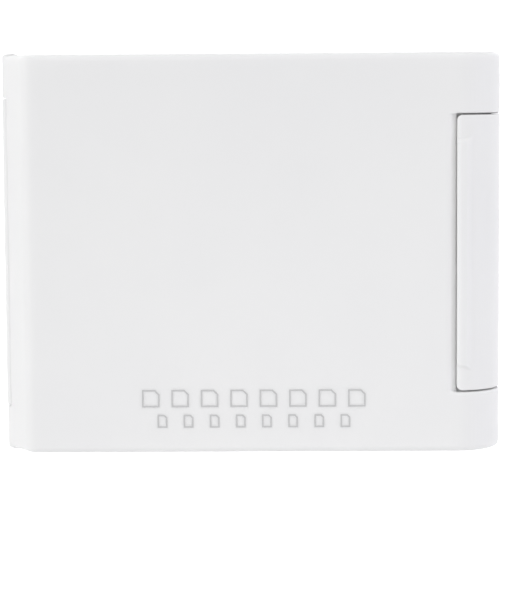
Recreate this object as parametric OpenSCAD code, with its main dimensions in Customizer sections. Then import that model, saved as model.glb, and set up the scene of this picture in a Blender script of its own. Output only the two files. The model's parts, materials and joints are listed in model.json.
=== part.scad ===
// Hard case for memory cards. A rear shell and a front cover, both moulded, are hinged along the
// left side and held shut by a latch that wraps round the right side. Each of them carries a card
// tray over a soft pad. The closed case lies on its back: x runs from the hinge to the latch,
// y along the hinge and z from the back face to the front face.

/* [Cards] */
// Long side of a full-size card
card_w = 32; // [32:0.1:32.5]
// Short side of a full-size card
card_l = 24; // [24:0.1:24.5]
// Thickness of a full-size card
card_t = 2.1; // [2.1:0.1:2.3]
// Long side of a micro card
micro_w = 15; // [15:0.1:15.3]
// Short side of a micro card
micro_l = 11; // [11:0.1:11.3]
// Thickness of a micro card
micro_t = 1; // [1:0.1:1.2]
// Gap on each side of a card in its pocket
card_gap = 0.2; // [0.1:0.05:0.3]

/* [Trays] */
// Distance from the rim's plane to the face of a tray
tray_drop = 0.4; // [0.3:0.1:0.6]
// Height of a tray
tray_t = 3.5; // [3.3:0.1:4]
// Thickness of a pad
pad_t = 3; // [2:0.1:4]
// Thickness of a tray's plate, collars and rim
tray_wall = 1.2; // [1:0.1:1.4]
// Gap round a tray and its pad
tray_gap = 0.5; // [0.4:0.1:0.8]
// Corner radius of a tray and its pad
tray_corner_r = 2; // [1:0.5:3]
// Bar beside the pockets, along the hinge and along the latch
side_bar = 3.8; // [3.2:0.1:6]
// Bar beyond the pockets, at both ends of the case
end_bar = 6.5; // [6:0.5:9]
// Bar between the two columns of pockets
column_bar = 2.2; // [2:0.1:2.8]
// Bar between the two rows of pockets
row_bar = 7; // [5:0.5:8]
// Radius of the thumb notches
notch_r = 8; // [6:0.5:8.5]
// How far a thumb notch reaches past the card
notch_reach = 4; // [3:0.5:4.5]
// Overhang of the nibs that hold a card
nib_reach = 0.5; // [0.3:0.1:0.6]
// Length of a nib
nib_l = 4; // [3:0.5:6]
// Thickness of a nib
nib_t = 0.9; // [0.7:0.1:0.9]
// Radius of the pegs that hold a tray
peg_r = 1; // [0.8:0.1:1.1]
// Gap round a peg in its post
peg_gap = 0.02; // [0.01:0.01:0.03]
// Length of a peg below the tray
peg_l = 2.2; // [1.6:0.1:2.4]
// Radius of the posts in the shells
post_r = 2; // [1.8:0.1:2.2]
// Distance from a tray's edge to the middle of a peg
peg_inset = 2.9; // [2.8:0.1:3.2]
// Radius of the nail slot beside a micro card
nail_r = 2.7; // [2:0.1:3.5]
// Gap between a pad and the posts that stand in it
pad_gap = 0.2; // [0.1:0.05:0.4]

/* [Case] */
// Wall of both shells
wall = 1.6; // [1.3:0.1:1.9]
// Rounding of the long edges of the front and back faces
edge_r = 1.1; // [0.6:0.1:1.5]
// Distance from the outside of the hinge barrel to the edge of the front face
spine_run = 5.05; // [4.6:0.05:5.6]
// Rounding between the front face and the sloping spine
spine_blend = 2.9; // [1.8:0.1:3]

/* [Parting line] */
// Gap between the rims of the two shells
parting_gap = 0.2; // [0.1:0.05:0.3]
// Height of the lip of the rear shell inside the front cover
lip_h = 1.2; // [0.8:0.1:1.6]
// Thickness of that lip
lip_t = 0.75; // [0.6:0.05:0.9]
// Gap round the lip
lip_gap = 0.15; // [0.1:0.05:0.2]

/* [Hinge] */
// Radius of the middle barrel, on the rear shell
barrel_r = 1.75; // [1.5:0.05:1.8]
// Length of the middle barrel
barrel_l = 57; // [50:1:60]
// Radius of the two ears, on the front cover
ear_r = 1.65; // [1.3:0.05:1.7]
// Radius of the steel pin
pin_r = 0.6; // [0.5:0.05:0.7]
// Height of the web that carries the middle barrel
web_h = 1.3; // [1:0.1:1.5]
// Gap between the pin and the barrel that grips it
pin_grip_gap = 0.02; // [0.01:0.01:0.03]
// Gap between the pin and the ears that turn on it
pin_run_gap = 0.06; // [0.04:0.01:0.09]
// Gap between the barrel and what turns round it
knuckle_gap = 0.15; // [0.15:0.05:0.3]
// Distance from the hinge axis to the outside of the rear shell's spine
spine_relief = 1.25; // [1.2:0.05:1.5]
// Radius of the domed plug at each end of the hinge
plug_r = 1.5; // [1.1:0.05:1.6]
// Height of the plug's dome
plug_dome = 0.35; // [0.2:0.05:0.5]
// Length of the plug's stem
plug_stem = 2; // [1.5:0.1:3]

/* [Latch] */
// Length of the latch
latch_l = 50.3; // [40:0.1:56]
// Wall of the latch
latch_t = 1.7; // [1.5:0.05:1.9]
// Gap at each end of the latch
latch_end_gap = 0.3; // [0.25:0.05:0.5]
// Gap at each end of the latch in the rear shell, which closes the view through the gap
rear_end_gap = 0.1; // [0.1:0.05:0.3]
// Gap under the latch
latch_under_gap = 0.2; // [0.15:0.05:0.3]
// Wall of both shells under the latch
recess_wall = 1.4; // [1.2:0.05:1.5]
// How far the free edge of the latch lies right of the start of the rounded side
latch_edge_run = 0.1; // [0.1:0.1:1]
// Rounding of the latch's free corners
latch_corner_r = 1; // [0.5:0.1:2]
// Direction of the pivot, below the middle of the rounded side
pivot_a = -43; // [-46:1:-40]
// Radius of the latch's own pivot barrel
pivot_r = 1.64; // [1.5:0.02:1.8]
// Radius of the trunnions
trunnion_r = 0.8; // [0.7:0.05:0.9]
// Gap between a trunnion and its socket
trunnion_gap = 0.05; // [0.03:0.01:0.09]
// Depth of a trunnion in its socket
trunnion_depth = 1.4; // [1.2:0.1:2]
// Rounding of the latch's free edge
latch_edge_r = 0.4; // [0.2:0.05:0.6]
// Length of the grip rib
rib_l = 40.6; // [30:0.2:42]
// Height of the grip rib
rib_h = 0.4; // [0.2:0.05:0.5]
// Distance from the free edge to the far side of the rib's crest
rib_w = 1.8; // [1.2:0.1:2]
// Width of the rib's long slope, away from the free edge
rib_slope = 1.1; // [0.6:0.1:1.6]
// Run of the slope at both ends of the rib, per unit of height
rib_end_run = 1.2; // [0.5:0.1:2]
// Radius of the bead that snaps the latch shut
bead_r = 0.35; // [0.3:0.05:0.4]
// Length of the snap bead
bead_l = 24; // [16:1:30]
// Distance of the snap bead from the free edge
bead_inset = 1; // [0.6:0.1:1.2]
// Slope of the finger dish where it meets the latch
dish_a = 58; // [45:1:65]
// Rounding between the front face and the dish
dish_r = 1.3; // [0.8:0.1:2]

/* [Hidden] */
$fn = 96;
white = "#f2f2f2";
steel = "#b9bcc0";
soft_grey = "#8f9499";
// Margin by which a cutting shape runs past what it cuts
past = 1;

// Thickness of the closed case: each half holds a wall, a pad, a tray and the drop to the rim
mid_z = wall + pad_t + tray_t + tray_drop;
case_t = 2 * mid_z;

// Direction in which the cover's spine faces: it runs from the front face's edge down to the ear
spine_out = [spine_run - barrel_r, mid_z];
spine_a = atan2(spine_out.y, spine_out.x) + acos(ear_r / norm(spine_out));
spine_n = [cos(spine_a), sin(spine_a)];

// Tray, with the pockets and pegs placed from its middle
pocket_w = card_w + 2 * card_gap;
pocket_l = card_l + 2 * card_gap;
pocket_at = [(pocket_w + column_bar) / 2, (pocket_l + row_bar) / 2];
tray_w = 2 * pocket_w + column_bar + 2 * side_bar;
tray_l = 2 * pocket_l + row_bar + 2 * end_bar;
tray_z = wall + pad_t;
peg_at = [tray_w / 2 - peg_inset, tray_l / 2 - peg_inset];

// Latch: its inner radius, and the depth and width of the dish that bares its free edge
latch_in_r = mid_z - latch_t;
recess_floor_z = mid_z + latch_in_r - latch_under_gap;
dish_run = (case_t - recess_floor_z) / tan(dish_a);
dish_w = dish_run + dish_r * tan(dish_a / 2);

// Closed case: the hinge, the tray, the dish and the rounded side lie beside each other
spine_in = spine_run + wall * tan((spine_a - 90) / 2);
case_w = spine_in + tray_gap + tray_w + tray_gap + dish_w + mid_z;
case_l = tray_l + 2 * tray_gap + 2 * wall;
axis_x = barrel_r - case_w / 2;
side_x = case_w / 2 - mid_z;
tray_left = spine_in + tray_gap - case_w / 2;
tray_x = tray_left + tray_w / 2;

// The latch's pivot, whose barrel touches the outside from within
pivot = [side_x, mid_z] + (mid_z - pivot_r) * [cos(pivot_a), sin(pivot_a)];
// A skin that turns a right angle about the pivot reaches this far from it
relief_r = pivot_r * sqrt(2);
recess_l = latch_l + 2 * latch_end_gap;
// The sockets are as deep again behind the trunnions
socket_l = 2 * trunnion_depth;
latch_edge_x = side_x + latch_edge_run;
dish_x = side_x - dish_run;
// Middle of the rounding of the latch's free edge, and its direction from the rounded side's middle
latch_edge_out = [latch_edge_run + latch_edge_r,
                  sqrt(pow(mid_z - latch_edge_r, 2) - pow(latch_edge_run + latch_edge_r, 2))];
// Height of the outside of the rounded side, at a distance from the latch's free edge
function outside_z(run) = mid_z + sqrt(pow(mid_z, 2) - pow(latch_edge_run + run, 2));
// The rib is drawn from inside the latch's wall up to its crest
rib_foot_z = outside_z(rib_w + rib_slope) - rib_h;
rib_crest_z = outside_z(latch_edge_r) + rib_h;
rib_rise = case_t + rib_h - rib_foot_z;
bead_run = latch_edge_run + bead_inset;
bead = [side_x + bead_run, mid_z + sqrt(pow(latch_in_r, 2) - pow(bead_run, 2))];

// Lays a drawing of x and z along the hinge, centred on y = 0
module along_hinge(length)
    rotate([90, 0, 0]) linear_extrude(height = length, center = true) children();

// Rectangle with true round corners
module rounded_rectangle(w, l, r) {
    square([w - 2 * r, l], center = true);
    square([w, l - 2 * r], center = true);
    for (sx = [-1, 1], sy = [-1, 1])
        translate([sx * (w / 2 - r), sy * (l / 2 - r)]) circle(r = r);
}

module in_four_corners(at)
    for (sx = [-1, 1], sy = [-1, 1]) translate([sx * at.x, sy * at.y]) children();

// Turns a shape of the front half over into the rear half
module rear_side() translate([0, 0, case_t]) mirror([0, 0, 1]) children();

// Everything on the inner side of the cover's spine, moved inwards by inset
module inside_spine(inset)
    translate([axis_x, mid_z] + (ear_r - inset) * spine_n)
        rotate(spine_a + 180)
            translate([0, -2 * case_w]) square([3 * case_w, 4 * case_w]);

// Section of the closed case in x and z, moved inwards by inset
module case_section(inset)
    intersection() {
        union() {
            translate([-case_w, inset]) square([case_w + side_x, case_t - 2 * inset]);
            translate([side_x, mid_z]) circle(r = mid_z - inset);
        }
        inside_spine(inset);
        translate([0, case_t]) mirror([0, 1]) inside_spine(inset);
    }

// What a rounding about centre, with radius r, takes off the edge between two faces that look along
// the directions a and b
module edge_cut(centre, r, a, b)
    difference() {
        polygon([centre, centre + (r + past) * a, centre + (r + past) * (a + b),
                 centre + (r + past) * b]);
        translate(centre) circle(r = r);
    }

// What is taken off the spine: its rounded edge, and the corner where it turns into the ears
module spine_cut() {
    edge_cut([spine_run - case_w / 2 + spine_blend * tan(acos(spine_n.y) / 2), case_t - spine_blend],
             spine_blend, [0, 1], spine_n);
    difference() {
        translate([-case_w, 0]) square([case_w + axis_x, mid_z + ear_r * spine_n.y]);
        translate([axis_x, mid_z]) circle(r = ear_r);
    }
}

// Front half of the case as one solid block, with rounded edges
module front_half()
    intersection() {
        union() {
            translate([-case_w, 0, mid_z]) rotate([90, 0, 90])
                linear_extrude(height = case_w + side_x) rounded_rectangle(case_l, case_t, edge_r);
            translate([side_x, 0, mid_z]) rotate([90, 0, 0]) rotate_extrude()
                intersection() {
                    rounded_rectangle(case_t, case_l, edge_r);
                    translate([0, -case_l]) square([case_t, 2 * case_l]);
                }
        }
        // The spine's own block gives its ends the same rounding
        translate([axis_x, 0, mid_z]) rotate([0, 90 - spine_a, 0]) rotate([90, 0, 90])
            translate([0, ear_r - 2 * case_w, -2 * case_w])
                linear_extrude(height = 4 * case_w) rounded_rectangle(case_l, 4 * case_w, edge_r);
        along_hinge(2 * case_l) difference() {
            translate([-case_w, mid_z + parting_gap / 2]) square([2 * case_w, case_t]);
            spine_cut();
        }
    }

// Room for the latch, grown by a wall where that is asked for
module latch_room(grow, end_gap = latch_end_gap)
    along_hinge(latch_l + 2 * end_gap + 2 * grow) {
        difference() {
            translate([side_x, pivot.y]) square([case_t, case_t]);
            translate([side_x, mid_z]) circle(r = latch_in_r - latch_under_gap - grow);
        }
        translate(pivot) circle(r = relief_r + grow);
        // Finger dish, which slopes down to the floor of the recess
        polygon([[dish_x - grow / sin(dish_a), case_t], [dish_x, case_t + past],
                 [side_x + past, case_t + past], [side_x + past, recess_floor_z - grow],
                 [side_x - grow * tan(dish_a / 2), recess_floor_z - grow]]);
        if (grow == 0)
            edge_cut([dish_x - dish_r * tan(dish_a / 2), case_t - dish_r], dish_r,
                     [0, 1], [sin(dish_a), cos(dish_a)]);
    }

// The hollow of the closed case, grown outwards where the lip needs it
module hollow(grow)
    difference() {
        along_hinge(case_l - 2 * (wall - grow)) case_section(wall - grow);
        latch_room(recess_wall - grow);
    }

// The part of a shape between two heights, right of the hinge
module rim_band(z0, z1)
    intersection() {
        children();
        translate([tray_left, -case_l, z0]) cube([2 * case_w, 2 * case_l, z1 - z0]);
    }

// Posts of a shell that take the pegs of its tray
module tray_posts()
    translate([tray_x, 0, 0]) in_four_corners(peg_at)
        translate([0, 0, wall / 2]) cylinder(r = post_r, h = tray_z - wall / 2);
module tray_post_holes()
    translate([tray_x, 0, 0]) in_four_corners(peg_at)
        translate([0, 0, wall]) cylinder(r = peg_r + peg_gap, h = tray_z);

module hinge_cylinder(r, length)
    translate([axis_x, 0, mid_z]) rotate([90, 0, 0]) cylinder(r = r, h = length, center = true);

module rear_shell()
    color(white) difference() {
        union() {
            difference() {
                rear_side() front_half();
                hollow(0);
                // The spine stands back from the hinge so that the cover can turn right over
                translate([-2 * case_w, -case_l, 0])
                    cube([2 * case_w + axis_x + spine_relief, 2 * case_l, case_t]);
            }
            // Spine wall and the web that carries the middle barrel
            intersection() {
                rear_side() front_half();
                translate([axis_x + spine_relief, -case_l / 2, 0]) cube([wall, case_l, case_t]);
            }
            along_hinge(barrel_l)
                translate([axis_x, mid_z - parting_gap / 2 - web_h])
                    square([spine_relief + wall / 2, web_h]);
            hinge_cylinder(barrel_r, barrel_l);
            // Lip that stands inside the cover's rim
            difference() {
                rim_band(mid_z - wall, mid_z + lip_h) hollow(lip_t);
                hollow(0);
            }
            tray_posts();
            // Sockets for the latch's trunnions
            intersection() {
                rear_side() front_half();
                translate([pivot.x, 0, pivot.y]) rotate([90, 0, 0])
                    cylinder(r = relief_r, h = recess_l + 2 * socket_l, center = true);
            }
        }
        latch_room(0, rear_end_gap);
        tray_post_holes();
        hinge_cylinder(pin_r + pin_grip_gap, case_l);
        // Room for the two ears
        for (s = [-1, 1])
            translate([0, s * (barrel_l + case_l) / 2, 0])
                hinge_cylinder(ear_r + knuckle_gap, case_l);
        translate([pivot.x, 0, pivot.y]) rotate([90, 0, 0])
            cylinder(r = trunnion_r + trunnion_gap, center = true,
                     h = recess_l + 2 * trunnion_depth + 2 * latch_end_gap);
    }

module front_cover()
    color(white) difference() {
        union() {
            difference() {
                front_half();
                hollow(0);
            }
            // Becomes the two ears when the room for the barrel is cut
            hinge_cylinder(ear_r, case_l);
            rear_side() tray_posts();
        }
        hinge_cylinder(barrel_r + knuckle_gap, barrel_l + 2 * knuckle_gap);
        rim_band(mid_z - wall, mid_z + lip_h + lip_gap) hollow(lip_t + lip_gap);
        latch_room(0);
        // Groove for the latch's snap bead
        translate([bead.x, 0, bead.y]) rotate([90, 0, 0])
            cylinder(r = bead_r + latch_under_gap, h = bead_l + 2 * latch_end_gap, center = true);
        rear_side() tray_post_holes();
        hinge_cylinder(pin_r + pin_run_gap, 2 * case_l);
    }

module hinge_pin()
    color(steel) hinge_cylinder(pin_r, case_l - 2 * plug_stem - 2 * knuckle_gap);

// Plug on the upper end of the hinge, a low dome on a stem
module hinge_plug() {
    dome_r = (pow(plug_r, 2) + pow(plug_dome, 2)) / (2 * plug_dome);
    color(white) translate([axis_x, case_l / 2, mid_z]) rotate([-90, 0, 0]) {
        translate([0, 0, -plug_stem]) cylinder(r = pin_r + pin_run_gap, h = plug_stem);
        rotate_extrude() intersection() {
            square([plug_r, plug_dome]);
            translate([0, plug_dome - dome_r]) circle(r = dome_r);
        }
    }
}
module upper_hinge_plug() hinge_plug();
module lower_hinge_plug() mirror([0, 1, 0]) hinge_plug();

module latch()
    color(white) union() {
        intersection() {
            along_hinge(latch_l) {
                difference() {
                    intersection() {
                        translate([side_x, mid_z]) circle(r = mid_z);
                        translate([side_x, mid_z]) polygon([
                            [0, 0], case_w * [cos(pivot_a), sin(pivot_a)],
                            [case_w, case_w], [latch_edge_run, case_w], [latch_edge_run, 0]]);
                    }
                    translate([side_x, mid_z]) circle(r = latch_in_r);
                    edge_cut([side_x, mid_z] + latch_edge_out, latch_edge_r,
                             [-1, 0], latch_edge_out / norm(latch_edge_out));
                }
                translate(pivot) circle(r = pivot_r);
            }
            // Round corners of the free edge, seen from the front
            translate([latch_edge_x + case_w / 2, 0, 0]) linear_extrude(height = 2 * case_t)
                rounded_rectangle(case_w, latch_l, latch_corner_r);
        }
        // Grip rib, which raises the free edge, with a long slope away from it and a slope at each end
        intersection() {
            along_hinge(latch_l) translate([latch_edge_x, 0]) difference() {
                polygon([
                    [0, rib_foot_z], [0, rib_crest_z], [latch_edge_r, rib_crest_z],
                    [rib_w, outside_z(rib_w) + rib_h], [rib_w + rib_slope, outside_z(rib_w + rib_slope)],
                    [rib_w + rib_slope, rib_foot_z]]);
                edge_cut([latch_edge_r, rib_crest_z - latch_edge_r], latch_edge_r, [-1, 0], [0, 1]);
            }
            rotate([90, 0, 90]) linear_extrude(height = case_w) polygon([
                [-rib_l / 2 - rib_end_run * rib_rise, rib_foot_z], [-rib_l / 2, rib_foot_z + rib_rise],
                [rib_l / 2, rib_foot_z + rib_rise], [rib_l / 2 + rib_end_run * rib_rise, rib_foot_z]]);
        }
        translate([bead.x, 0, bead.y]) rotate([90, 0, 0]) cylinder(r = bead_r, h = bead_l, center = true);
        translate([pivot.x, 0, pivot.y]) rotate([90, 0, 0])
            cylinder(r = trunnion_r, center = true,
                     h = latch_l + 2 * latch_end_gap + 2 * trunnion_depth);
    }

// Outline of one card pocket with its thumb notch towards the end of the tray, grown where asked
module pocket_outline(grow) {
    square([pocket_w + 2 * grow, pocket_l + 2 * grow], center = true);
    translate([0, pocket_l / 2 + notch_reach - notch_r]) circle(r = notch_r + grow);
}

// Four pockets, each row with its notches turned outwards
module pockets()
    for (sx = [-1, 1], sy = [-1, 1])
        translate([sx * pocket_at.x, sy * pocket_at.y]) mirror([0, sy < 0 ? 1 : 0]) children();

module rear_card_tray()
    color(white) translate([tray_x, 0, tray_z]) {
        difference() {
            linear_extrude(height = tray_t) rounded_rectangle(tray_w, tray_l, tray_corner_r);
            translate([0, 0, -past]) linear_extrude(height = tray_t + 2 * past)
                pockets() pocket_outline(0);
            // Hollow underside between the rim, the collars of the pockets and the pegs
            translate([0, 0, -past]) linear_extrude(height = tray_t - tray_wall + past)
                difference() {
                    rounded_rectangle(tray_w - 2 * tray_wall, tray_l - 2 * tray_wall,
                                      tray_corner_r - tray_wall / 2);
                    pockets() pocket_outline(tray_wall);
                    in_four_corners(peg_at) circle(r = post_r);
                }
        }
        in_four_corners(peg_at) translate([0, 0, -peg_l]) cylinder(r = peg_r, h = peg_l + tray_wall);
        // Nibs over both short sides of each card
        pockets() for (side = [-1, 1])
            translate([side * (pocket_w / 2 - nib_reach / 2 + tray_wall / 4), 0,
                       card_t + card_gap + nib_t / 2])
                cube([nib_reach + tray_wall / 2, nib_l, nib_t], center = true);
    }
module front_card_tray() rear_side() rear_card_tray();

module rear_pad()
    color(soft_grey) translate([tray_x, 0, wall]) difference() {
        linear_extrude(height = pad_t) difference() {
            rounded_rectangle(tray_w, tray_l, tray_corner_r);
            in_four_corners(peg_at) circle(r = post_r + pad_gap);
        }
        pockets() translate([0, 0, pad_t - micro_t - card_gap / 2])
            linear_extrude(height = pad_t) {
                square([micro_w + card_gap, micro_l + card_gap], center = true);
                translate([0, micro_l / 2]) circle(r = nail_r);
            }
    }
module front_pad() rear_side() rear_pad();

rear_shell();
front_cover();
hinge_pin();
upper_hinge_plug();
lower_hinge_plug();
latch();
rear_card_tray();
front_card_tray();
rear_pad();
front_pad();
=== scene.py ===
"""Looks of a hinged hard case for memory cards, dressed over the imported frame."""

import json
import math

import bmesh
import bpy
import numpy as np
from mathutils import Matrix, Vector


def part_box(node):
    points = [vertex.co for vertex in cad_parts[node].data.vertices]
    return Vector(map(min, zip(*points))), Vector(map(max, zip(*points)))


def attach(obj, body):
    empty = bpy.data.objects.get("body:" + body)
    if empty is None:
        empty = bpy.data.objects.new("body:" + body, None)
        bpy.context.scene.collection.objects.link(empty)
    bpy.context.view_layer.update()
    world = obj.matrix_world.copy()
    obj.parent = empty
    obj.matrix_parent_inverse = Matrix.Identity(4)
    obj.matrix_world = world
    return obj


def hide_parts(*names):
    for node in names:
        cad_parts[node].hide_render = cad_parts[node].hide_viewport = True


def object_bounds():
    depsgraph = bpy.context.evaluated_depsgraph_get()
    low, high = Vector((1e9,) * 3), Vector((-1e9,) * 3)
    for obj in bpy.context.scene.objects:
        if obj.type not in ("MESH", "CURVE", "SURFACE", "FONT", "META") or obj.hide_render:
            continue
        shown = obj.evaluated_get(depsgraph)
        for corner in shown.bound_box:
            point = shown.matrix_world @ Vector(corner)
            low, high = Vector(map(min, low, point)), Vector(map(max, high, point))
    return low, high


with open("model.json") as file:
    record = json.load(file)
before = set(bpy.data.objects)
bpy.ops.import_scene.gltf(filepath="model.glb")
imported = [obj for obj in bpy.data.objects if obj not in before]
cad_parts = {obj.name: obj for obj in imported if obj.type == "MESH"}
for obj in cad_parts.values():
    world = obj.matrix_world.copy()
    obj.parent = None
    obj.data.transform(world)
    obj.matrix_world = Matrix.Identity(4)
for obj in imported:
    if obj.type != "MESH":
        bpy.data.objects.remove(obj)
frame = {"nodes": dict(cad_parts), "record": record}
cad_low, cad_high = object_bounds()


# --- Rear shell -----------------------------------------------------------------------------------
# Back half of the case with the middle barrel of the hinge, the lip for the cover and the latch's
# sockets, injection-moulded in white ABS in one shot. The mould rounds every edge a little, which
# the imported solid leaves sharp, so it is laid out again on an even grid and its edges are eased.
MM = 0.001
SHELL_GRID = 0.25 * MM  # spacing of that grid
SHELL_EASING = 6  # how often each point moves towards its neighbours
EASING_STEP = 0.5  # how much of the way it moves each time
MOST_FACES = 150_000  # triangles of one piece
WELD = 0.012 * MM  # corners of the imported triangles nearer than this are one
ABS_WHITE = "#F0F0EF"
ABS_SHADE = "#ECECEC"
ABS_IOR = 1.54
ABS_ROUGHNESS = (0.34, 0.42)
ABS_GLOW = 0.8  # share of the light that scatters inside the pigmented plastic
ABS_GLOW_DEPTH = 0.9 * MM  # how far it spreads there, which brightens narrow gaps
ABS_GRAIN_DEPTH = 0.004 * MM
GRAIN = 0.35 * MM  # width of the eroded grain; a real one is about 0.05 mm, too fine to show
TONE_SPREAD = 24 * MM  # size of the faint clouds of tone in the pigment
RUB_SPREAD = 11 * MM  # size of the patches that handling has rubbed a little smoother


def linear(code):
    """An sRGB hex colour as linear red, green, blue and alpha."""
    parts = [int(code[i : i + 2], 16) / 255 for i in (1, 3, 5)]
    return [p / 12.92 if p <= 0.04045 else ((p + 0.055) / 1.055) ** 2.4 for p in parts] + [1.0]


def add(tree, kind, links=None, **settings):
    """A node of that kind. Settings name its properties or sockets, and links feed its inputs."""
    node = tree.nodes.new(kind)
    for name, value in settings.items():
        if hasattr(node, name):
            setattr(node, name, value)
        else:
            node.inputs[name.replace("_", " ").title()].default_value = value
    for name, source in (links or {}).items():
        tree.links.new(source, node.inputs[name])
    return node


def new_material(name):
    """An empty material: its node tree, its Principled shader and the Object coordinates."""
    made = bpy.data.materials.new(name)
    made.use_nodes = True
    tree = made.node_tree
    tree.nodes.clear()
    shader = add(tree, "ShaderNodeBsdfPrincipled")
    add(tree, "ShaderNodeOutputMaterial", {"Surface": shader.outputs["BSDF"]})
    place = add(tree, "ShaderNodeTexCoord").outputs["Object"]
    return made, tree, shader, place


def moulded_abs(name, light, shade, roughness, grain_depth):
    """ABS moulded against an eroded steel tool: a satin, nearly neutral white with a fine grain,
    faint clouds in the pigment and patches that handling has rubbed smoother."""
    made, tree, shader, place = new_material(name)
    clouds = add(tree, "ShaderNodeTexNoise", {"Vector": place}, scale=1 / TONE_SPREAD, detail=2.0)
    tone = add(tree, "ShaderNodeMix", {"Factor": clouds.outputs["Fac"]}, data_type="RGBA")
    tone.inputs["A"].default_value = linear(light)
    tone.inputs["B"].default_value = linear(shade)
    rub = add(tree, "ShaderNodeTexNoise", {"Vector": place}, scale=1 / RUB_SPREAD, detail=3.0)
    sheen = add(tree, "ShaderNodeMapRange", {"Value": rub.outputs["Fac"]})
    sheen.inputs["To Min"].default_value, sheen.inputs["To Max"].default_value = roughness
    grain = add(tree, "ShaderNodeTexNoise", {"Vector": place}, scale=1 / GRAIN, detail=2.0)
    relief = add(tree, "ShaderNodeBump", {"Height": grain.outputs["Fac"]}, distance=grain_depth)
    tree.links.new(tone.outputs["Result"], shader.inputs["Base Color"])
    tree.links.new(sheen.outputs["Result"], shader.inputs["Roughness"])
    tree.links.new(relief.outputs["Normal"], shader.inputs["Normal"])
    shader.inputs["IOR"].default_value = ABS_IOR
    shader.inputs["Subsurface Weight"].default_value = ABS_GLOW
    shader.inputs["Subsurface Radius"].default_value = (1.0, 1.0, 1.0)
    shader.inputs["Subsurface Scale"].default_value = ABS_GLOW_DEPTH
    return made


def merged(node):
    """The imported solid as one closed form."""
    source = frame["nodes"][node].data
    plain = bpy.data.meshes.new("plain")
    plain.from_pydata([v.co for v in source.vertices], [], [p.vertices[:] for p in source.polygons])
    form = bmesh.new()
    form.from_mesh(plain)
    bpy.data.meshes.remove(plain)
    bmesh.ops.remove_doubles(form, verts=form.verts, dist=WELD)
    return form


def show(mesh, name, material):
    """A finished piece at the origin, with its place in its mesh."""
    piece = bpy.data.objects.new(name, mesh)
    bpy.context.scene.collection.objects.link(piece)
    mesh.materials.clear()
    mesh.materials.append(material)
    return piece


def baked(piece):
    """Turns what the piece's modifiers show into its plain mesh."""
    graph = bpy.context.evaluated_depsgraph_get()
    mesh = bpy.data.meshes.new_from_object(piece.evaluated_get(graph), depsgraph=graph)
    mesh.name = piece.name
    piece.modifiers.clear()
    piece.data = mesh
    return piece


def eased(form, name, material, grid, rounds):
    """A form laid out again on an even grid, with its edges eased by rounds of smoothing."""
    mesh = bpy.data.meshes.new(name)
    form.to_mesh(mesh)
    form.free()
    piece = show(mesh, name, material)
    cells = piece.modifiers.new("even_grid", "REMESH")
    cells.mode, cells.voxel_size, cells.use_smooth_shade = "VOXEL", grid, True
    ease = piece.modifiers.new("eased_edges", "SMOOTH")
    ease.factor, ease.iterations = EASING_STEP, rounds
    return baked(piece)


def points_of(piece):
    """The places of the piece's points, one row each."""
    points = np.zeros(len(piece.data.vertices) * 3)
    piece.data.vertices.foreach_get("co", points)
    return points.reshape(-1, 3)


def placed(piece, points, low, high, node, body, slot):
    """Moves the piece's points, inside a box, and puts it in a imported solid's place."""
    piece.data.vertices.foreach_set("co", np.clip(points, low, high).ravel())
    piece.data.update()
    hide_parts(node)
    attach(piece, body)


def moulded(node, name, grid, rounds, material, body, slot, form=None, reshaped=None):
    """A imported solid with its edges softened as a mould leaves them, in the solid's place. form
    stands in for the solid itself, and reshaped changes the points once they are eased."""
    piece = eased(form or merged(node), name, material, grid, rounds)
    if reshaped:
        piece.data.vertices.foreach_set("co", reshaped(points_of(piece)).ravel())
    share = MOST_FACES / sum(len(face.vertices) - 2 for face in piece.data.polygons)
    if share < 1:
        piece.modifiers.new("fewer_faces", "DECIMATE").ratio = share
        baked(piece)
    placed(piece, points_of(piece), *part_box(node), node, body, slot)


white_abs = moulded_abs("moulded_white_abs", ABS_WHITE, ABS_SHADE, ABS_ROUGHNESS, ABS_GRAIN_DEPTH)
moulded("rear_shell", "rear_shell_moulding", SHELL_GRID, SHELL_EASING, white_abs, "base",
        "white_abs")


# --- Hinge pin ------------------------------------------------------------------------------------
# Straight length of drawn steel wire, pushed through both ears of the cover and gripped by the
# middle barrel. Drawing leaves fine scratches along it, and it shows only in the hinge's gaps.
PIN_STEEL = "#B9BABC"
PIN_ROUGHNESS = (0.22, 0.38)
DRAW_DEPTH = 0.003 * MM
DRAW_PITCH = 0.08 * MM  # spacing of the draw marks round the wire
DRAW_LENGTH = 6 * MM  # how far one mark runs along it

drawn_steel, tree, shader, place = new_material("drawn_steel_wire")
along = add(tree, "ShaderNodeMapping", {"Vector": place})
along.inputs["Scale"].default_value = (1 / DRAW_PITCH, 1 / DRAW_LENGTH, 1 / DRAW_PITCH)
marks = add(tree, "ShaderNodeTexNoise", {"Vector": along.outputs["Vector"]}, scale=1.0, detail=2.0)
gloss = add(tree, "ShaderNodeMapRange", {"Value": marks.outputs["Fac"]})
gloss.inputs["To Min"].default_value, gloss.inputs["To Max"].default_value = PIN_ROUGHNESS
scores = add(tree, "ShaderNodeBump", {"Height": marks.outputs["Fac"]}, distance=DRAW_DEPTH)
shader.inputs["Base Color"].default_value = linear(PIN_STEEL)
shader.inputs["Metallic"].default_value = 1.0
tree.links.new(gloss.outputs["Result"], shader.inputs["Roughness"])
tree.links.new(scores.outputs["Normal"], shader.inputs["Normal"])
pin = frame["nodes"]["hinge_pin"]
pin.data.materials.clear()
pin.data.materials.append(drawn_steel)


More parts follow.
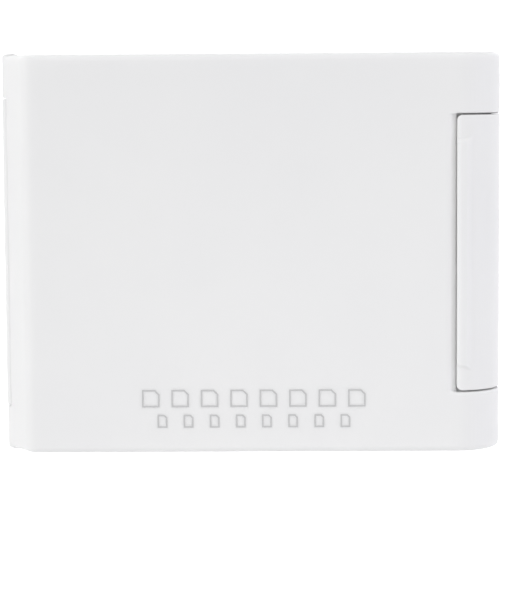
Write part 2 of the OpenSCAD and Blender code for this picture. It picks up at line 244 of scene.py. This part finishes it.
# --- Soft pads ------------------------------------------------------------------------------------
# Sheet of soft grey foam under each card tray, with a sunk place for a micro card below every
# pocket. The tray's bars press on it, so it swells a little into the pockets.
FOAM_CELL = 0.5 * MM  # size of the cells that show on the skin of the foam
CELL_WALL = 0.7  # how far out in a cell its wall stands highest, as a share of the cell
PIT_DEPTH = 0.03 * MM
FOAM_GRID = 0.5 * MM  # spacing of the points on the pads
FOAM_GREY = "#8E9296"
FOAM_DEEP = "#7E8286"
FOAM_ROUGHNESS = 0.85
FOAM_IOR = 1.4
FOAM_SOFTEN = 4  # how often each point moves towards its neighbours
SWELL = 0.16 * MM  # how far the foam swells into a pocket

soft_foam, tree, shader, place = new_material("closed_cell_foam")
cells = add(tree, "ShaderNodeTexVoronoi", {"Vector": place}, scale=1 / FOAM_CELL)
walls = add(tree, "ShaderNodeMapRange", {"Value": cells.outputs["Distance"]})
walls.inputs["From Max"].default_value = CELL_WALL
blotches = add(tree, "ShaderNodeTexNoise", {"Vector": place}, scale=1 / TONE_SPREAD, detail=3.0)
depth = add(tree, "ShaderNodeMath", {0: walls.outputs["Result"], 1: blotches.outputs["Fac"]},
            operation="MULTIPLY")
foam_tone = add(tree, "ShaderNodeMix", {"Factor": depth.outputs["Value"]}, data_type="RGBA")
foam_tone.inputs["A"].default_value = linear(FOAM_GREY)
foam_tone.inputs["B"].default_value = linear(FOAM_DEEP)
pits = add(tree, "ShaderNodeBump", {"Height": walls.outputs["Result"]}, distance=PIT_DEPTH)
pits.invert = True
tree.links.new(foam_tone.outputs["Result"], shader.inputs["Base Color"])
tree.links.new(pits.outputs["Normal"], shader.inputs["Normal"])
shader.inputs["Roughness"].default_value = FOAM_ROUGHNESS
shader.inputs["IOR"].default_value = FOAM_IOR

openings = [o for o in frame["record"]["physics"]["openings"] if o["name"].endswith("card_pocket")]


def soft_pad(node, name, body, up):
    """A packed pad as a foam sheet. up is 1 where its pockets look up, and -1 otherwise."""
    piece = eased(merged(node), name, soft_foam, FOAM_GRID, FOAM_SOFTEN)
    points = points_of(piece)
    low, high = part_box(node)
    face, back = (high.z, low.z) if up > 0 else (low.z, high.z)
    height = np.clip((points[:, 2] - back) / (face - back), 0, 1)
    for pocket in openings:
        (x0, y0, _), (x1, y1, _) = pocket["box_m"]
        u = np.clip((points[:, 0] - x0) / (x1 - x0), 0, 1)
        v = np.clip((points[:, 1] - y0) / (y1 - y0), 0, 1)
        crown = np.sqrt(4 * u * (1 - u) * 4 * v * (1 - v))  # 1 in the middle, 0 at the edges
        points[:, 2] += up * SWELL * crown * height**2
    # Nothing but the swelling leaves the solid's own box
    swollen = Vector((0, 0, SWELL))
    low, high = (low, high + swollen) if up > 0 else (low - swollen, high)
    placed(piece, points, low, high, node, body, "soft_foam")


soft_pad("rear_pad", "rear_foam_pad", "base", 1)
soft_pad("front_pad", "front_foam_pad", "lid", -1)


# --- Card trays -----------------------------------------------------------------------------------
# The same ABS moulding twice, with four pockets, thumb notches and nibs that hold the cards. Its
# four pegs are pressed into the shell's posts. It is polished a little more than the shells are.
TRAY_GRID = 0.22 * MM
TRAY_EASING = 2
TRAY_WHITE = "#E9E9E8"
TRAY_SHADE = "#E4E4E4"
TRAY_ROUGHNESS = (0.30, 0.36)
TRAY_GRAIN_DEPTH = 0.0015 * MM

tray_abs = moulded_abs("satin_tray_abs", TRAY_WHITE, TRAY_SHADE, TRAY_ROUGHNESS, TRAY_GRAIN_DEPTH)
moulded("rear_card_tray", "rear_card_tray_moulding", TRAY_GRID, TRAY_EASING, tray_abs, "base",
        "tray_abs")
moulded("front_card_tray", "front_card_tray_moulding", TRAY_GRID, TRAY_EASING, tray_abs, "lid",
        "tray_abs")


# --- Front cover ----------------------------------------------------------------------------------
# Front half of the case, in the same white ABS as the rear shell, with the two ears of the hinge,
# the recess for the latch and the finger dish beside it. Small domed plugs close the ears.
DISH_SHARE = 0.62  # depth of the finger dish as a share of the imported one, which looks too dark
DISH_START = 35.57 * MM  # where its rounding begins, along x
DISH_END = 37.52 * MM  # where the lifted part of its floor ends, just beside the latch
DISH_HALF = 25.6 * MM  # half of its length
DISH_SLOPE = 1.6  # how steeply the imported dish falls, depth over run
DISH_FLOOR = 1.9 * MM  # depth of its packed floor under the front face
SLOPE_MARGIN = 0.25 * MM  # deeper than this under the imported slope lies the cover's inside
FLOOR_MARGIN = 0.1 * MM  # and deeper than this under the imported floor
GATHER = 0.2 * MM  # points nearer to the end than this are drawn to it, for a clean step
STEP_RUN = 0.01 * MM  # half of the step's run


def shallower_dish(points):
    """Lifts the bared floor of the dish. The floor under the latch stays as the latch needs it."""
    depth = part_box("front_cover")[1].z - points[:, 2]
    run = points[:, 0] - DISH_START
    deepest = np.minimum(DISH_SLOPE * run + SLOPE_MARGIN, DISH_FLOOR + FLOOR_MARGIN)
    bared = (run > 0) & (abs(points[:, 1]) < DISH_HALF) & (depth < deepest)
    beside = points[:, 0] < DISH_END
    points[:, 2] += np.where(bared & beside, depth * (1 - DISH_SHARE), 0)
    near = bared & (abs(points[:, 0] - DISH_END) < GATHER)
    points[near, 0] = DISH_END + np.where(beside[near], -STEP_RUN, STEP_RUN)
    return points


moulded("front_cover", "front_cover_moulding", SHELL_GRID, SHELL_EASING, white_abs, "lid",
        "white_abs", reshaped=shallower_dish)

PLUG_GRID = 0.08 * MM
PLUG_EASING = 2
PLUG_RIM = 1.4 * MM  # points of the plug farther out than this belong to its rim
RIM_DROP = 0.5 * MM  # how far the rim reaches down over the rounded end of the ear
pin_low, pin_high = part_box("hinge_pin")
hinge_axis = (pin_low + pin_high) / 2
for node in ("upper_hinge_plug", "lower_hinge_plug"):
    form = merged(node)
    for corner in form.verts:
        if math.hypot(corner.co.x - hinge_axis.x, corner.co.z - hinge_axis.z) > PLUG_RIM:
            corner.co.y -= math.copysign(RIM_DROP, corner.co.y)
    moulded(node, node + "_moulding", PLUG_GRID, PLUG_EASING, white_abs, "lid", "white_abs", form)


# --- Printed card marks ---------------------------------------------------------------------------
# Pad-printed pale grey ink near the bottom edge of the cover: a row of eight plain card outlines
# over a row of eight smaller ones, which say what the case holds without any lettering.
INK = "#C2C2C2"
INK_THIN = "#CCCCCC"
INK_ROUGHNESS = 0.5
INK_FILM = 0.012 * MM
MARK_LINE = 0.28 * MM
MARK_COUNT = 8
FULL_SIZE_MARKS = {"w": 3.2 * MM, "l": 3.2 * MM, "clip": 0.8 * MM,
                   "middle": (0.4 * MM, -26.4 * MM), "pitch": 5.4 * MM}
MICRO_MARKS = {"w": 1.8 * MM, "l": 2.4 * MM, "clip": 0.5 * MM,
               "middle": (0.4 * MM, -30.6 * MM), "pitch": 4.8 * MM}


def card_outline(w, l, clip):
    """Corners of a card of width w and length l with one clipped corner, centred."""
    return [(-w / 2, -l / 2), (w / 2, -l / 2), (w / 2, l / 2 - clip), (w / 2 - clip, l / 2),
            (-w / 2, l / 2)]


printed_ink, tree, shader, place = new_material("pad_printed_ink")
speckle = add(tree, "ShaderNodeTexNoise", {"Vector": place}, scale=1 / GRAIN, detail=1.0)
ink_tone = add(tree, "ShaderNodeMix", {"Factor": speckle.outputs["Fac"]}, data_type="RGBA")
ink_tone.inputs["A"].default_value = linear(INK)
ink_tone.inputs["B"].default_value = linear(INK_THIN)
tree.links.new(ink_tone.outputs["Result"], shader.inputs["Base Color"])
shader.inputs["Roughness"].default_value = INK_ROUGHNESS

mark_row = bpy.data.node_groups.new("row_of_card_marks", "GeometryNodeTree")
for name, kind in (("Geometry", "NodeSocketGeometry"), ("Count", "NodeSocketInt"),
                   ("Start", "NodeSocketVector"), ("Step", "NodeSocketVector"),
                   ("Ink", "NodeSocketMaterial")):
    mark_row.interface.new_socket(name, in_out="INPUT", socket_type=kind)
mark_row.interface.new_socket("Geometry", in_out="OUTPUT", socket_type="NodeSocketGeometry")
given = add(mark_row, "NodeGroupInput").outputs
line = add(mark_row, "GeometryNodeMeshLine",
           {"Count": given["Count"], "Start Location": given["Start"], "Offset": given["Step"]})
marks = add(mark_row, "GeometryNodeInstanceOnPoints",
            {"Points": line.outputs["Mesh"], "Instance": given["Geometry"]})
real = add(mark_row, "GeometryNodeRealizeInstances", {"Geometry": marks.outputs["Instances"]})
inked = add(mark_row, "GeometryNodeSetMaterial",
            {"Geometry": real.outputs["Geometry"], "Material": given["Ink"]})
add(mark_row, "NodeGroupOutput", {"Geometry": inked.outputs["Geometry"]})


def print_row(name, w, l, clip, middle, pitch):
    """A row of card marks on the front face, centred on middle."""
    form = bmesh.new()
    rings = []
    for inset in (0, MARK_LINE):
        inner_clip = clip - inset * (2 - math.sqrt(2))  # keeps the slanted line as wide as the rest
        for z in (0, INK_FILM):
            shape = card_outline(w - 2 * inset, l - 2 * inset, inner_clip)
            rings.append([form.verts.new((x, y, z)) for x, y in shape])
    outer_low, outer_high, inner_low, inner_high = rings
    corners = len(outer_low)
    for i in range(corners):
        j = (i + 1) % corners
        form.faces.new((outer_high[i], outer_high[j], inner_high[j], inner_high[i]))
        form.faces.new((outer_low[i], inner_low[i], inner_low[j], outer_low[j]))
        form.faces.new((outer_low[i], outer_low[j], outer_high[j], outer_high[i]))
        form.faces.new((inner_low[i], inner_high[i], inner_high[j], inner_low[j]))
    bmesh.ops.recalc_face_normals(form, faces=form.faces)
    mesh = bpy.data.meshes.new(name)
    form.to_mesh(mesh)
    form.free()
    piece = show(mesh, name, printed_ink)
    row = piece.modifiers.new("row", "NODES")
    row.node_group = mark_row
    start = (middle[0] - pitch * (MARK_COUNT - 1) / 2, middle[1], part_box("front_cover")[1].z)
    settings = {"Count": MARK_COUNT, "Start": start, "Step": (pitch, 0, 0), "Ink": printed_ink}
    for item in mark_row.interface.items_tree:
        if item.in_out == "INPUT" and item.name in settings:
            row[item.identifier] = settings[item.name]
    baked(piece)
    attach(piece, "lid")


print_row("full_size_card_marks", **FULL_SIZE_MARKS)
print_row("micro_card_marks", **MICRO_MARKS)


# --- Latch ----------------------------------------------------------------------------------------
# ABS moulding that wraps round the right side from its pivot to the front face, with a grip rib
# along its free edge and a bead inside that snaps into the cover.
LATCH_GRID = 0.13 * MM
LATCH_EASING = 6
moulded("latch", "latch_moulding", LATCH_GRID, LATCH_EASING, white_abs, "latch", "white_abs")


# --- Setting --------------------------------------------------------------------------------------
# The case lies on its back on a pale table, and the camera looks down on its front face from a
# little above the middle, in a white tent that is brighter towards the photograph's top edge. Soft
# boxes stand left and right, and one hangs over the lower half, which is a little brighter there.
CAMERA_AT = (7.80 * MM, 30.67 * MM, 417.0 * MM)
CAMERA_TURN = (-5.6475, 1.0355, -0.394)  # degrees
CAMERA_LENS = 156.97  # in millimetres, over a sensor of the next width
CAMERA_SENSOR = 36
CAMERA_REACH = (0.01, 10)  # nearest and farthest that it sees, in metres
TABLE_HALF = 1.5  # in metres
TABLE_WHITE = "#F2F2F2"
TABLE_GLOW = 0.6  # what the table adds of its own where it is seen, so that it shows white
TABLE_GAP = 0.05 * MM  # keeps the table's face clear of the back face that lies on it
TENT = 0.79  # strength of its light, 1 being white
TENT_CLOTH = "#FEFEFF"
TENT_BRIGHT_SIDE = (-0.04, 0.24, 0.0)  # how much brighter the tent is towards +x, +y and +z

camera = bpy.data.objects.new("camera", bpy.data.cameras.new("camera"))
bpy.context.scene.collection.objects.link(camera)
camera.location = CAMERA_AT
camera.rotation_euler = [math.radians(a) for a in CAMERA_TURN]
camera.data.lens, camera.data.sensor_width = CAMERA_LENS, CAMERA_SENSOR
camera.data.sensor_fit = "HORIZONTAL"
camera.data.clip_start, camera.data.clip_end = CAMERA_REACH
bpy.context.scene.camera = camera


def seen_as_white(tree):
    """1 for rays that show the surroundings as a picture, and 0 for those that light the case."""
    path = add(tree, "ShaderNodeLightPath").outputs
    first = add(tree, "ShaderNodeMath", {0: path["Is Camera Ray"], 1: path["Is Glossy Ray"]},
                operation="MAXIMUM")
    return add(tree, "ShaderNodeMath", {0: first.outputs[0], 1: path["Is Transmission Ray"]},
               operation="MAXIMUM").outputs[0]


table_white = bpy.data.materials.new("pale_table")
table_white.use_nodes = True
tree = table_white.node_tree
tree.nodes.clear()
seen = seen_as_white(tree)
glow = add(tree, "ShaderNodeMath", {0: seen}, operation="MULTIPLY")
glow.inputs[1].default_value = TABLE_GLOW
paint = add(tree, "ShaderNodeBsdfDiffuse")
paint.inputs["Color"].default_value = linear(TABLE_WHITE)
shine = add(tree, "ShaderNodeEmission", {"Strength": glow.outputs[0]})
both = add(tree, "ShaderNodeAddShader")
tree.links.new(paint.outputs[0], both.inputs[0])
tree.links.new(shine.outputs[0], both.inputs[1])
# From below the table is clear, so that the back of the case can be looked at
below = add(tree, "ShaderNodeNewGeometry").outputs["Backfacing"]
clear = add(tree, "ShaderNodeBsdfTransparent")
top = add(tree, "ShaderNodeMixShader", {0: below, 1: both.outputs[0], 2: clear.outputs[0]})
add(tree, "ShaderNodeOutputMaterial", {"Surface": top.outputs[0]})
table_mesh = bpy.data.meshes.new("table")
table_mesh.from_pydata([(x * TABLE_HALF, y * TABLE_HALF, cad_low.z - TABLE_GAP)
                        for x, y in ((-1, -1), (1, -1), (1, 1), (-1, 1))], [], [(0, 1, 2, 3)])
show(table_mesh, "table", table_white)

world = bpy.data.worlds.new("tent")
bpy.context.scene.world = world
world.use_nodes = True
tree = world.node_tree
tree.nodes.clear()
side = add(tree, "ShaderNodeVectorMath", {0: add(tree, "ShaderNodeTexCoord").outputs["Generated"]},
           operation="DOT_PRODUCT")
side.inputs[1].default_value = TENT_BRIGHT_SIDE
shade = add(tree, "ShaderNodeMath", {0: side.outputs["Value"]}, operation="ADD")
shade.inputs[1].default_value = TENT
cloth = add(tree, "ShaderNodeBackground", {"Strength": shade.outputs[0]})
cloth.inputs["Color"].default_value = linear(TENT_CLOTH)
white = add(tree, "ShaderNodeBackground")
white.inputs["Color"].default_value = (1, 1, 1, 1)
seen = seen_as_white(tree)
tent = add(tree, "ShaderNodeMixShader", {0: seen, 1: cloth.outputs[0], 2: white.outputs[0]})
add(tree, "ShaderNodeOutputWorld", {"Surface": tent.outputs[0]})

LAMPS = (  # name, place and size in metres, watts, colour
    ("soft_box_left", (-0.60, 0.05, 0.25), 0.5, 0.58, "#FFFFFF"),
    ("soft_box_right", (0.60, 0.0, 0.30), 0.5, 0.47, "#EAE8FF"),
    ("soft_box_over_lower_half", (0.02, -0.12, 0.30), 0.2, 0.12, "#FFFFFF"),
)
for name, at, size, watts, colour in LAMPS:
    lamp = bpy.data.lights.new(name, "AREA")
    lamp.energy, lamp.size, lamp.color = watts, size, linear(colour)[:3]
    holder = bpy.data.objects.new(name, lamp)
    bpy.context.scene.collection.objects.link(holder)
    holder.location = at
    holder.rotation_euler = (-Vector(at)).to_track_quat("-Z", "Y").to_euler()

bpy.context.scene.view_settings.view_transform = "Standard"
